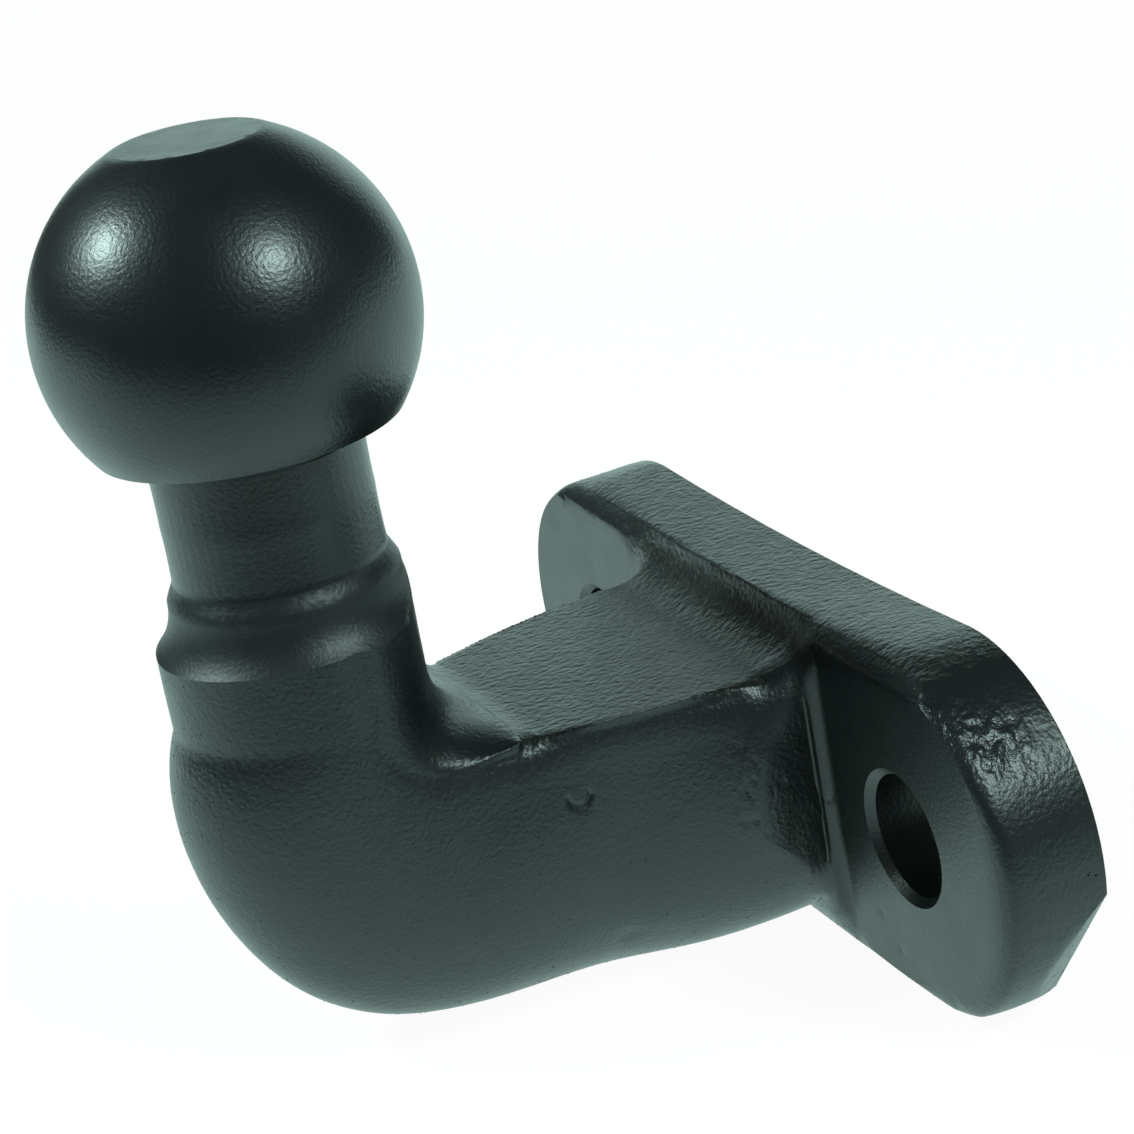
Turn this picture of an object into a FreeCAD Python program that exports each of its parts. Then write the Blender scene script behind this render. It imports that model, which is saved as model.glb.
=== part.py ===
import FreeCAD, Part
import math
import os

# Flange tow ball: one steel forging with a turned ball and neck, a short post, an elbow,
# a flat-topped arm and a plate with two bolt holes.
# Millimetres. The origin is on the mounting face, midway between the bolt holes.
# X runs from hole to hole, the mounting face looks along +Y and Z is up, along the neck.

# Where the ball stands from the plate
ball_reach = 75.0
ball_height = 79.5

# Ball and neck, turned about one upright line
ball_diameter = 50.0
ball_flat_diameter = 19.1
shoulder_diameter = 40.3
shoulder_fall = 0.8
neck_diameter = 28.6
neck_root_chamfer = 1.6
flare_step_below_ball = 33.4
flare_step_width = 1.2
flare_step_height = 2.4
flare_radius = 9.4
flare_sweep = 56.0

# Forged post, below the turned flare
post_outer_reach = 18.5
post_inner_reach = 15.6
post_edge_reach = 2.3
post_half_width = 18.0
post_edge_half_width = 17.7
post_swell = 1.4

# Elbow and arm
arm_top_height = 18.0
arm_bottom_height = -23.4
arm_bottom_fall = 2.2
elbow_inner_radius = 8.0
elbow_outer_radius = 33.0
arm_flat_half_width = 18.4
arm_half_width = 20.0
arm_widest_share = 0.42
arm_side_fullness = 2.3
root_half_width = 21.0
root_flat_half_width = 22.6
root_flare_radius = 25.4
root_flare_start = -42.0
root_flare_limit = 8.0
root_rise_start = -26.0
root_top_reach = -12.0
root_drop = 1.1
root_end = -6.0

# Trimming, which leaves the arm's flat top and its sharp edges
trim_allowance = 1.0
elbow_trim_share = 0.6

# Plate
bolt_spacing = 90.0
bolt_hole_diameter = 17.0
bolt_hole_chamfer = 1.1
lobe_radius = 25.2
waist_drop = 1.1
plate_forged_thickness = 16.0
plate_edge_radius = 8.0
lobe_edge_radius = 4.5

# Machined pads round the bolt holes
pad_thickness = 14.3
pad_half_width = 18.8
pad_corner_radius = 2.2

# Scoop between the arm's flat top and the plate's top edge
scoop_radius = 8.0
scoop_right_reach = 23.6
scoop_left_reach = 29.0

# Dressed corners of the plate, low on the outer sides
dressed_angle = -38.0
dressed_cut = 3.4
dressed_depth = 8.0


def vector(x, y, z):
    return FreeCAD.Vector(x, y, z)


# How closely the forged skin's faces meet along their shared edges
skin_tolerance = 0.001

# The ball's centre, the turning axis and the plate's narrow middle
axis_y = -ball_reach
ball_radius = ball_diameter / 2.0
neck_radius = neck_diameter / 2.0
waist_half_height = lobe_radius - waist_drop
root_half_height = waist_half_height - root_drop


def turned_point(radius, height):
    """A point of the turned profile, in the plane x = 0."""
    return vector(0, axis_y + radius, height)


def ball_and_neck():
    """The turned part: a profile in the plane x = 0, spun about the neck's axis."""
    flat_radius = ball_flat_diameter / 2.0
    flat_z = ball_height + math.sqrt(ball_radius ** 2 - flat_radius ** 2)
    shoulder_radius = shoulder_diameter / 2.0
    shoulder_z = ball_height - math.sqrt(ball_radius ** 2 - shoulder_radius ** 2)
    root_z = shoulder_z - shoulder_fall
    top_centre = turned_point(0, flat_z)
    flat_rim = turned_point(flat_radius, flat_z)
    side = turned_point(ball_radius, ball_height)
    shoulder = turned_point(shoulder_radius, shoulder_z)
    root_start = turned_point(neck_radius + neck_root_chamfer, root_z)
    root_end = turned_point(neck_radius, root_z - neck_root_chamfer)
    neck_foot = turned_point(neck_radius, arm_top_height)
    foot_centre = turned_point(0, arm_top_height)
    profile = Part.Wire([
        Part.LineSegment(top_centre, flat_rim).toShape(),
        Part.Arc(flat_rim, side, shoulder).toShape(),
        Part.LineSegment(shoulder, root_start).toShape(),
        Part.LineSegment(root_start, root_end).toShape(),
        Part.LineSegment(root_end, neck_foot).toShape(),
        Part.LineSegment(neck_foot, foot_centre).toShape(),
        Part.LineSegment(foot_centre, top_centre).toShape(),
    ])
    return Part.Face(profile).revolve(vector(0, axis_y, 0), vector(0, 0, 1), 360)


def turning_waste():
    """What the lathe takes off the forged post: all outside the neck and its hollow flare."""
    step_z = ball_height - flare_step_below_ball
    flare_z = step_z - flare_step_height
    flare_start_radius = neck_radius + flare_step_width
    centre_radius = flare_start_radius + flare_radius
    clear_radius = post_outer_reach * 2.0

    def on_flare(angle):
        turn = math.radians(angle)
        return turned_point(
            centre_radius - flare_radius * math.cos(turn),
            flare_z - flare_radius * math.sin(turn),
        )

    flare_end = on_flare(flare_sweep)
    end_radius = flare_end.y - axis_y
    run_out = (clear_radius - end_radius) / math.tan(math.radians(flare_sweep))
    profile = Part.Wire([
        Part.Arc(flare_end, on_flare(flare_sweep / 2.0), on_flare(0)).toShape(),
        Part.LineSegment(on_flare(0), turned_point(neck_radius, step_z)).toShape(),
        Part.LineSegment(
            turned_point(neck_radius, step_z), turned_point(neck_radius, ball_height),
        ).toShape(),
        Part.LineSegment(
            turned_point(neck_radius, ball_height), turned_point(clear_radius, ball_height),
        ).toShape(),
        Part.LineSegment(
            turned_point(clear_radius, ball_height),
            turned_point(clear_radius, flare_end.z - run_out),
        ).toShape(),
        Part.LineSegment(
            turned_point(clear_radius, flare_end.z - run_out), flare_end,
        ).toShape(),
    ])
    return Part.Face(profile).revolve(vector(0, axis_y, 0), vector(0, 0, 1), 360)


def forged_section(origin, outward, corner, widest, depth, fullness):
    """A closed D across X, as two curves: an inner side through origin and a full round side.

    corner and widest are (half width, depth below origin): the inner side ends at its
    corners, and the round side is widest at the second pair.
    """
    corner_half, corner_depth = corner
    half_width, widest_depth = widest
    low_angle = math.acos((corner_half / half_width) ** (fullness / 2.0))
    upper_axis = (widest_depth - corner_depth) / math.sin(low_angle)
    lower_axis = depth - widest_depth
    inner_steps = 2
    outer_steps = 4

    def place(across, below):
        return origin + vector(across, 0, 0) + outward * below

    inner = []
    for step in range(-inner_steps, inner_steps + 1):
        turn = math.pi / 2.0 * step / inner_steps
        below = corner_depth * (1.0 - math.cos(turn))
        inner.append(place(corner_half * math.sin(turn), below))
    right = [(corner_half, corner_depth)]
    for step in range(1, outer_steps):
        turn = -low_angle + (math.pi / 2.0 + low_angle) * step / outer_steps
        across = half_width * math.cos(turn) ** (2.0 / fullness)
        if turn < 0:
            below = widest_depth + upper_axis * math.sin(turn)
        else:
            below = widest_depth + lower_axis * math.sin(turn) ** (2.0 / fullness)
        right.append((across, below))
    left = [(-across, below) for across, below in reversed(right)]
    outer = [place(across, below) for across, below in right + [(0.0, depth)] + left]
    return through(inner, range(len(inner))), through(outer, range(len(outer)))


def through(points, stations):
    """A smooth curve through the points, at the given distances along it."""
    curve = Part.BSplineCurve()
    curve.interpolate(Points=points, Parameters=[float(station) for station in stations])
    return curve


def skin(curves, stations):
    """A smooth face through a row of like curves."""
    rows = [curve.getPoles() for curve in curves]
    lengthwise = [through(list(column), stations) for column in zip(*rows)]
    across = curves[0]
    along = lengthwise[0]
    surface = Part.BSplineSurface()
    surface.buildFromPolesMultsKnots(
        [curve.getPoles() for curve in lengthwise],
        across.getMultiplicities(), along.getMultiplicities(),
        across.getKnots(), along.getKnots(),
        False, False, across.Degree, along.Degree,
    )
    return surface.toShape()


def forged_bend_radius(share):
    """The inner bend before trimming: a little slack at the post and proud at the arm."""
    return elbow_inner_radius + trim_allowance * (elbow_trim_share - share) / (1.0 - elbow_trim_share)


def bend_centre():
    """The line about which the elbow's sections turn: the centre of the inner bend."""
    return vector(
        0,
        axis_y + post_inner_reach + forged_bend_radius(0.0),
        arm_top_height + elbow_inner_radius,
    )


def elbow_reach(turn):
    """Distance from the inner bend's centre to the elbow's outer line, turn below -Y."""
    centre = bend_centre()
    outer_y = axis_y - post_outer_reach - post_swell
    away_y = -math.cos(turn)
    away_z = -math.sin(turn)
    to_y = outer_y + elbow_outer_radius - centre.y
    to_z = arm_bottom_height + elbow_outer_radius - centre.z
    along = away_y * to_y + away_z * to_z
    rest = to_y ** 2 + to_z ** 2 - elbow_outer_radius ** 2
    on_arc = along + math.sqrt(along ** 2 - rest)
    if away_z * on_arc > to_z:
        return (outer_y - centre.y) / away_y
    if away_y * on_arc > to_y:
        return (arm_bottom_height - centre.z) / away_z
    return on_arc


def blend(start, end, share):
    return start + (end - start) * share


def post_section(height):
    """A level section of the post: nearly round, a little shorter towards the plate."""
    return forged_section(
        vector(0, axis_y + post_inner_reach, height),
        vector(0, -1, 0),
        (post_edge_half_width, post_inner_reach - post_edge_reach),
        (post_half_width, post_inner_reach),
        post_inner_reach + post_outer_reach,
        2.0,
    )


def elbow_section(share):
    """A section of the elbow. Its corners run along the arm's top and turn up the post."""
    turn = math.pi / 2.0 * share
    outward = vector(0, -math.cos(turn), -math.sin(turn))
    inner_radius = forged_bend_radius(share)
    depth = elbow_reach(turn) - inner_radius
    corner_depth = min(
        inner_radius * (1.0 / math.sin(turn) - 1.0),
        post_inner_reach - post_edge_reach,
    )
    half_width = blend(post_half_width, arm_half_width, share)
    corner_half = blend(post_edge_half_width, arm_flat_half_width, share)
    return forged_section(
        bend_centre() + outward * inner_radius,
        outward,
        (corner_half, corner_depth),
        (half_width, blend(post_inner_reach, depth * arm_widest_share, share)),
        depth,
        blend(2.0, arm_side_fullness, share),
    )


def arm_section(y):
    """An upright section of the arm, which widens and deepens into the plate."""
    start = bend_centre().y
    share = min((y - start) / (root_rise_start - start), 1.0)
    top = arm_top_height + trim_allowance
    bottom = arm_bottom_height - arm_bottom_fall * share
    if y > root_rise_start:
        climb = min((y - root_rise_start) / (root_top_reach - root_rise_start), 1.0)
        top = blend(top, root_half_height, climb)
        bottom = blend(bottom, -root_half_height, climb)
    along = min(max(y - root_flare_start, 0.0), root_flare_radius)
    flare = root_flare_radius - math.sqrt(root_flare_radius ** 2 - along ** 2)
    depth = top - bottom
    return forged_section(
        vector(0, y, top),
        vector(0, 0, -1),
        (blend(arm_flat_half_width, root_flat_half_width, share), 0.0),
        (
            blend(arm_half_width, root_half_width, share) + min(flare, root_flare_limit),
            depth * arm_widest_share,
        ),
        depth,
        arm_side_fullness,
    )


def end_face(section):
    inner, outer = section
    return Part.Face(Part.Wire([inner.toShape(), outer.toShape()]))


def forged_body():
    """A straight post on a skin through sections that follow the elbow and the arm."""
    elbow_steps = 3
    root_steps = 3
    post_foot = post_section(bend_centre().z)
    sections = [post_foot]
    for step in range(1, elbow_steps):
        sections.append(elbow_section(step / elbow_steps))
    sections.append(arm_section(bend_centre().y))
    for step in range(root_steps + 1):
        share = step / root_steps
        sections.append(arm_section(blend(root_flare_start, root_end, share)))
    middles = []
    for inner, outer in sections:
        middles.append((inner.StartPoint + outer.value(outer.LastParameter / 2.0)) / 2.0)
    stations = [0.0]
    for before, after in zip(middles, middles[1:]):
        stations.append(stations[-1] + before.distanceToPoint(after))
    shell = Part.Shell([
        skin([inner for inner, outer in sections], stations),
        skin([outer for inner, outer in sections], stations),
        end_face(sections[0]),
        end_face(sections[-1]),
    ])
    shell.sewShape()
    bent = Part.Solid(shell)
    if bent.Volume < 0:
        bent.reverse()
    bent.fixTolerance(skin_tolerance)
    post_top = ball_height - flare_step_below_ball + flare_step_height
    post = end_face(post_foot).extrude(vector(0, 0, post_top - bend_centre().z))
    return post.fuse(bent)


def plate_outline():
    """Two round lobes joined by long shallow arcs that meet them smoothly."""
    half = bolt_spacing / 2.0
    waist_radius = (
        half ** 2 + waist_half_height ** 2 - lobe_radius ** 2
    ) / (2.0 * (lobe_radius - waist_half_height))
    lean = math.atan2(half, waist_half_height + waist_radius)
    touch_x = half - lobe_radius * math.sin(lean)
    touch_z = lobe_radius * math.cos(lean)
    right_top = vector(touch_x, 0, touch_z)
    right_low = vector(touch_x, 0, -touch_z)
    left_top = vector(-touch_x, 0, touch_z)
    left_low = vector(-touch_x, 0, -touch_z)
    return Part.Wire([
        Part.Arc(left_top, vector(0, 0, waist_half_height), right_top).toShape(),
        Part.Arc(right_top, vector(half + lobe_radius, 0, 0), right_low).toShape(),
        Part.Arc(right_low, vector(0, 0, -waist_half_height), left_low).toShape(),
        Part.Arc(left_low, vector(-half - lobe_radius, 0, 0), left_top).toShape(),
    ])


def plate():
    """The forged plate. Its front edge is rounded, and fully so along the top and the bottom."""
    reach = bolt_spacing + lobe_radius * 2.0
    front_y = -plate_forged_thickness
    body = Part.Face(plate_outline()).extrude(vector(0, front_y, 0))
    front_edges = [edge for edge in body.Edges if abs(edge.CenterOfMass.y - front_y) < 0.01]
    body = body.makeFillet(lobe_edge_radius, front_edges)
    round_y = front_y + plate_edge_radius
    round_z = lobe_radius - plate_edge_radius
    inset = plate_edge_radius * math.sqrt(0.5)

    def at(y, z):
        return vector(-reach / 2.0, y, z)

    profile = Part.Wire([
        Part.LineSegment(at(0, -lobe_radius), at(0, lobe_radius)).toShape(),
        Part.LineSegment(at(0, lobe_radius), at(round_y, lobe_radius)).toShape(),
        Part.Arc(
            at(round_y, lobe_radius), at(round_y - inset, round_z + inset), at(front_y, round_z),
        ).toShape(),
        Part.LineSegment(at(front_y, round_z), at(front_y, -round_z)).toShape(),
        Part.Arc(
            at(front_y, -round_z), at(round_y - inset, -round_z - inset), at(round_y, -lobe_radius),
        ).toShape(),
        Part.LineSegment(at(round_y, -lobe_radius), at(0, -lobe_radius)).toShape(),
    ])
    return body.common(Part.Face(profile).extrude(vector(reach, 0, 0)))


def dressing_waste(side):
    """A wedge off one lower outer corner, deepest at the mounting face."""
    angle = math.radians(dressed_angle)
    half = bolt_spacing / 2.0
    size = lobe_radius * 2.0
    lean = math.degrees(math.atan2(dressed_cut, dressed_depth))
    block = Part.makeBox(size, size * 2.0, size * 2.0, vector(0, -size, -size))
    block.rotate(vector(0, 0, 0), vector(0, 0, 1), lean)
    block.translate(vector(lobe_radius - dressed_cut, 0, 0))
    block.rotate(vector(0, 0, 0), vector(0, 1, 0), -dressed_angle)
    block.translate(vector(half, 0, 0))
    if side < 0:
        block = block.mirror(vector(0, 0, 0), vector(1, 0, 0))
    return block


def pad_waste(side):
    """What the cutter takes off in front of one bolt hole, open above, below and outside."""
    reach = bolt_spacing + lobe_radius
    height = lobe_radius * 3.0
    depth = ball_reach / 2.0
    wall_x = bolt_spacing / 2.0 - pad_half_width
    floor_y = -pad_thickness
    cut = Part.makeBox(
        reach, depth, height * 2.0,
        vector(wall_x, floor_y - depth, -height),
    )
    corner = [
        edge for edge in cut.Edges
        if abs(edge.CenterOfMass.x - wall_x) < 0.01
        and abs(edge.CenterOfMass.y - floor_y) < 0.01
    ]
    cut = cut.makeFillet(pad_corner_radius, corner)
    if side < 0:
        cut = cut.mirror(vector(0, 0, 0), vector(1, 0, 0))
    return cut


def bolt_hole(side):
    """A through hole with a small chamfer at the pad."""
    radius = bolt_hole_diameter / 2.0
    x = side * bolt_spacing / 2.0
    hole = Part.makeCylinder(
        radius, plate_forged_thickness * 2.0,
        vector(x, plate_forged_thickness / 2.0, 0), vector(0, -1, 0),
    )
    lead = Part.makeCone(
        radius, radius + bolt_hole_chamfer * 2.0, bolt_hole_chamfer * 2.0,
        vector(x, -pad_thickness + bolt_hole_chamfer, 0), vector(0, -1, 0),
    )
    return hole.fuse(lead)


def trimming_waste():
    """What trimming takes off above the arm, and the scoop that runs up to the plate's top."""
    bend = bend_centre()
    clear_z = ball_height / 2.0
    clear_x = lobe_radius * 2.0
    lead_turn = math.pi / 2.0 * elbow_trim_share * elbow_trim_share
    scoop_y = root_top_reach - scoop_radius
    scoop_z = arm_top_height + scoop_radius

    def on_bend(turn, x):
        return vector(
            x,
            bend.y - elbow_inner_radius * math.cos(turn),
            bend.z - elbow_inner_radius * math.sin(turn),
        )

    def on_scoop(turn, x):
        return vector(
            x,
            scoop_y + scoop_radius * math.sin(turn),
            scoop_z - scoop_radius * math.cos(turn),
        )

    flat_start = on_bend(math.pi / 2.0, -clear_x)
    lead_start = on_bend(lead_turn, -clear_x)
    flat_end = vector(-clear_x, scoop_y, arm_top_height)
    over_arm = Part.Wire([
        Part.Arc(
            lead_start, on_bend((lead_turn + math.pi / 2.0) / 2.0, -clear_x), flat_start,
        ).toShape(),
        Part.LineSegment(flat_start, flat_end).toShape(),
        Part.LineSegment(flat_end, vector(-clear_x, scoop_y, clear_z)).toShape(),
        Part.LineSegment(
            vector(-clear_x, scoop_y, clear_z), vector(-clear_x, lead_start.y, clear_z),
        ).toShape(),
        Part.LineSegment(vector(-clear_x, lead_start.y, clear_z), lead_start).toShape(),
    ])
    left_x = -scoop_left_reach
    scoop = Part.Wire([
        Part.Arc(
            on_scoop(0, left_x), on_scoop(math.pi / 4.0, left_x), on_scoop(math.pi / 2.0, left_x),
        ).toShape(),
        Part.LineSegment(
            on_scoop(math.pi / 2.0, left_x), vector(left_x, root_top_reach, clear_z),
        ).toShape(),
        Part.LineSegment(
            vector(left_x, root_top_reach, clear_z), vector(left_x, scoop_y, clear_z),
        ).toShape(),
        Part.LineSegment(
            vector(left_x, scoop_y, clear_z), on_scoop(0, left_x),
        ).toShape(),
    ])
    arm_trim = Part.Face(over_arm).extrude(vector(clear_x * 2.0, 0, 0))
    scoop_trim = Part.Face(scoop).extrude(vector(scoop_left_reach + scoop_right_reach, 0, 0))
    return arm_trim.fuse(scoop_trim)


def tow_ball():
    body = forged_body().fuse(plate())
    body = body.cut(turning_waste())
    body = body.cut(trimming_waste())
    for side in (-1, 1):
        body = body.cut(pad_waste(side))
        body = body.cut(dressing_waste(side))
        body = body.cut(bolt_hole(side))
    front_only = Part.makeBox(
        bolt_spacing * 4.0, ball_reach * 4.0, ball_height * 4.0,
        vector(-bolt_spacing * 2.0, -ball_reach * 4.0, -ball_height * 2.0),
    )
    body = body.common(front_only)
    return body.fuse(ball_and_neck()).removeSplitter()


os.makedirs("parts", exist_ok=True)
shape = tow_ball()
solid = shape.Solids[0] if len(shape.Solids) == 1 else shape
solid.exportStep("parts/tow_ball.step")
box = solid.BoundBox
print("tow_ball: solids", len(shape.Solids), "valid", shape.isValid())
print("volume", round(solid.Volume / 1000.0, 1), "cm3")
print("box", [round(v, 2) for v in (box.XMin, box.YMin, box.ZMin, box.XMax, box.YMax, box.ZMax)])
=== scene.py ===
# %% [markdown]
# A tow ball bolts to the back of a car and carries a trailer's coupling. This one is a single
# steel forging: the smith's dies gave it the arm and the flange, a lathe turned the ball and
# its neck, a cutter faced the pads round the bolt holes, and a coat of satin black paint went
# over all of it. The solid already has every form, so this lesson is about its skin.

import math

import bmesh
import bpy
import numpy as np
from mathutils import Matrix, Vector, noise


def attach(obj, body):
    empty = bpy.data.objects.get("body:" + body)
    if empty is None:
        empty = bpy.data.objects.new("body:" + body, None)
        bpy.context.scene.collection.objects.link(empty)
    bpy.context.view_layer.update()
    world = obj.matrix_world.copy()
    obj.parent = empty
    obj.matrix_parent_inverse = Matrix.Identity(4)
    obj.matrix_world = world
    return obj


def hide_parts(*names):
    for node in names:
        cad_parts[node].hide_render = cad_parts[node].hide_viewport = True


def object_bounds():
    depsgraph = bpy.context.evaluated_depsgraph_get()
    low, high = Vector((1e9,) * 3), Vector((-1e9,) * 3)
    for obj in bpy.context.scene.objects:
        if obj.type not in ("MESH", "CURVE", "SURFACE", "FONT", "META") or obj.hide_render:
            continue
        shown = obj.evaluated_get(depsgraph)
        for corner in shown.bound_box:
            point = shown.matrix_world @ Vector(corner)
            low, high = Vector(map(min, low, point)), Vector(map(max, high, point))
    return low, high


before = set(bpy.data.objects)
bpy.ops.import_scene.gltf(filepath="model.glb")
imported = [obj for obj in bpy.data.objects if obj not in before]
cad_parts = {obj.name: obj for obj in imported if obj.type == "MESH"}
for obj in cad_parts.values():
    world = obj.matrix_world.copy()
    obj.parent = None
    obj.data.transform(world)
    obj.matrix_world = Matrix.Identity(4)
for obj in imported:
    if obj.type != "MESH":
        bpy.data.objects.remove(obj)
solid_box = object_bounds()
print("nodes", sorted(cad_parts))
print("box", [[round(value, 4) for value in corner] for corner in solid_box])

# %% [markdown]
# The camera comes first, because every choice of detail depends on how large it appears.
# A long lens from a little above flattens the view, as in a catalogue picture. The place is
# given in the part's own frame, and the three directions make the camera's axes.

# %% Place the camera
MM = 0.001
camera_place = Vector((361.67, -174.80, 179.66)) * MM
camera_azimuth = math.radians(68.98)
camera_elevation = math.radians(20.81)
camera_roll = math.radians(-10.51)
lens_length = 96.70
sensor_width = 36.0

back = Vector((
    math.sin(camera_azimuth) * math.cos(camera_elevation),
    -math.cos(camera_azimuth) * math.cos(camera_elevation),
    math.sin(camera_elevation),
))
level = Vector((math.cos(camera_azimuth), math.sin(camera_azimuth), 0.0))
rise = back.cross(level)
right = level * math.cos(camera_roll) + rise * math.sin(camera_roll)
up = rise * math.cos(camera_roll) - level * math.sin(camera_roll)

camera_data = bpy.data.cameras.new("catalogue_camera")
camera_data.lens = lens_length
camera_data.sensor_width = sensor_width
camera_data.sensor_fit = "HORIZONTAL"
camera_data.clip_start = 0.01
camera_data.clip_end = 20.0
camera = bpy.data.objects.new("catalogue_camera", camera_data)
camera.matrix_world = Matrix((
    (right.x, up.x, back.x, camera_place.x),
    (right.y, up.y, back.y, camera_place.y),
    (right.z, up.z, back.z, camera_place.z),
    (0.0, 0.0, 0.0, 1.0),
))
bpy.context.scene.collection.objects.link(camera)
bpy.context.scene.camera = camera
print("camera", [round(value, 3) for value in camera_place], "lens", lens_length, "mm")

# %% [markdown]
# A white sheet under and behind the part does two jobs. The camera sees it as plain white,
# and the paint mirrors it: that is why the undersides look lighter than the top of the ball.
# Light Path tells the shader which ray is asking. To the camera the sheet is white with a
# faint shadow, to the paint's mirror it is a bright sheet that dims towards the camera, where
# the real paper gets less light, and to all other rays it is an ordinary lit surface. It lies
# a small gap below the part, so that the part's lowest points don't come through it.

# %% Mix the white sheet
floor_gap = 0.4 * MM
floor_height = solid_box[0][2] - floor_gap
sheet_tint = (0.80, 0.86, 0.85, 1.0)
mirror_tint = (0.70, 1.0, 0.94, 1.0)
white = (1.0, 1.0, 1.0, 1.0)
shadow_share = 0.10
shadow_tint = (shadow_share, shadow_share, shadow_share, 1.0)
sheet_front = 0.30
sheet_behind = 0.95
sheet_half_width = 1.1
view_level = Vector((back.x, back.y, 0.0)).normalized()
view_side = Vector((-view_level.y, view_level.x, 0.0))


def white_sheet_material(name, front_mirror, back_mirror):
    """White paper whose mirror image has one strength in front of the part and another behind."""
    material = bpy.data.materials.new(name)
    material.use_nodes = True
    nodes = material.node_tree.nodes
    links = material.node_tree.links
    nodes.clear()

    def lit(colour):
        shader = nodes.new("ShaderNodeBsdfDiffuse")
        shader.inputs["Color"].default_value = colour
        return shader

    output = nodes.new("ShaderNodeOutputMaterial")
    path = nodes.new("ShaderNodeLightPath")
    seen_glow = nodes.new("ShaderNodeEmission")
    seen_glow.inputs["Color"].default_value = white
    seen_glow.inputs["Strength"].default_value = 1.0 - shadow_share / 2.0
    seen = nodes.new("ShaderNodeAddShader")
    links.new(seen_glow.outputs["Emission"], seen.inputs[0])
    links.new(lit(shadow_tint).outputs["BSDF"], seen.inputs[1])
    place = nodes.new("ShaderNodeTexCoord")
    depth = nodes.new("ShaderNodeVectorMath")
    depth.operation = "DOT_PRODUCT"
    depth.inputs[1].default_value = view_level
    fade = nodes.new("ShaderNodeMapRange")
    fade.inputs["From Min"].default_value = sheet_front
    fade.inputs["From Max"].default_value = 0.0
    fade.inputs["To Min"].default_value = front_mirror
    fade.inputs["To Max"].default_value = back_mirror
    mirrored = nodes.new("ShaderNodeEmission")
    mirrored.inputs["Color"].default_value = mirror_tint
    links.new(place.outputs["Object"], depth.inputs[0])
    links.new(depth.outputs["Value"], fade.inputs["Value"])
    links.new(fade.outputs["Result"], mirrored.inputs["Strength"])
    by_mirror = nodes.new("ShaderNodeMixShader")
    links.new(path.outputs["Is Glossy Ray"], by_mirror.inputs["Fac"])
    links.new(lit(sheet_tint).outputs["BSDF"], by_mirror.inputs[1])
    links.new(mirrored.outputs["Emission"], by_mirror.inputs[2])
    by_camera = nodes.new("ShaderNodeMixShader")
    links.new(path.outputs["Is Camera Ray"], by_camera.inputs["Fac"])
    links.new(by_mirror.outputs["Shader"], by_camera.inputs[1])
    links.new(seen.outputs["Shader"], by_camera.inputs[2])
    links.new(by_camera.outputs["Shader"], output.inputs["Surface"])
    return material


table_white = white_sheet_material("white_table", front_mirror=0.32, back_mirror=1.25)
backdrop_white = white_sheet_material("white_backdrop", front_mirror=1.5, back_mirror=1.5)
print("sheets", table_white.name, backdrop_white.name)

# %% Lay the sheet and stand its back edge up
backdrop_radius = 0.90
backdrop_height = 0.50
backdrop_left = -24.0
backdrop_right = 34.0
backdrop_steps = 24


def stage_sheet(name, corners, faces, material):
    mesh = bpy.data.meshes.new(name)
    mesh.from_pydata([tuple(corner) for corner in corners], [], faces)
    mesh.materials.append(material)
    sheet = bpy.data.objects.new(name, mesh)
    bpy.context.scene.collection.objects.link(sheet)
    return sheet


floor_corners = []
for along, across in ((sheet_front, -1), (sheet_front, 1), (-sheet_behind, 1), (-sheet_behind, -1)):
    point = view_level * along + view_side * across * sheet_half_width
    floor_corners.append(Vector((point.x, point.y, floor_height)))
floor = stage_sheet("floor", floor_corners, [(0, 1, 2, 3)], table_white)

backdrop_corners = []
for step in range(backdrop_steps + 1):
    turn = math.radians(backdrop_left + (backdrop_right - backdrop_left) * step / backdrop_steps)
    point = (view_side * math.sin(turn) - view_level * math.cos(turn)) * backdrop_radius
    backdrop_corners.append(Vector((point.x, point.y, floor_height)))
    backdrop_corners.append(Vector((point.x, point.y, floor_height + backdrop_height)))
backdrop_faces = [(2 * step, 2 * step + 2, 2 * step + 3, 2 * step + 1) for step in range(backdrop_steps)]
backdrop = stage_sheet("backdrop", backdrop_corners, backdrop_faces, backdrop_white)
print("stage", floor.name, backdrop.name, "floor at", round(floor_height * 1000.0, 2), "mm")

# %% [markdown]
# Two round lamps stand left and right of the camera. Satin paint blurs their mirror images
# into the two soft patches on the ball. Their light has a slight green cast, and so has the
# little light that comes from the room. The camera sees the room as white.

# %% Light the studio
lamp_tint = (0.74, 1.0, 0.94)
part_middle = Vector((0.0, -0.045, 0.04))


def lamp(name, place, size, power):
    data = bpy.data.lights.new(name, "AREA")
    data.shape = "DISK"
    data.size = size
    data.energy = power
    data.color = lamp_tint
    source = bpy.data.objects.new(name, data)
    source.location = place
    source.rotation_euler = (place - part_middle).to_track_quat("Z", "Y").to_euler()
    bpy.context.scene.collection.objects.link(source)
    return source


def from_camera(sideways, upward, towards):
    """A direction by its shares of the camera's right, its up and its way back."""
    return right * sideways + up * upward + back * towards


lamp_distance = 0.8
lamp_size = 0.17
to_left_lamp = from_camera(-0.84, 0.486, 0.239)
to_right_lamp = from_camera(0.465, 0.482, 0.742)
left_power = 3.5
right_power = 2.8
left_lamp = lamp("left_lamp", part_middle + to_left_lamp * lamp_distance, lamp_size, left_power)
right_lamp = lamp("right_lamp", part_middle + to_right_lamp * lamp_distance, lamp_size, right_power)
print("lamps", left_lamp.name, right_lamp.name)

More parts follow.
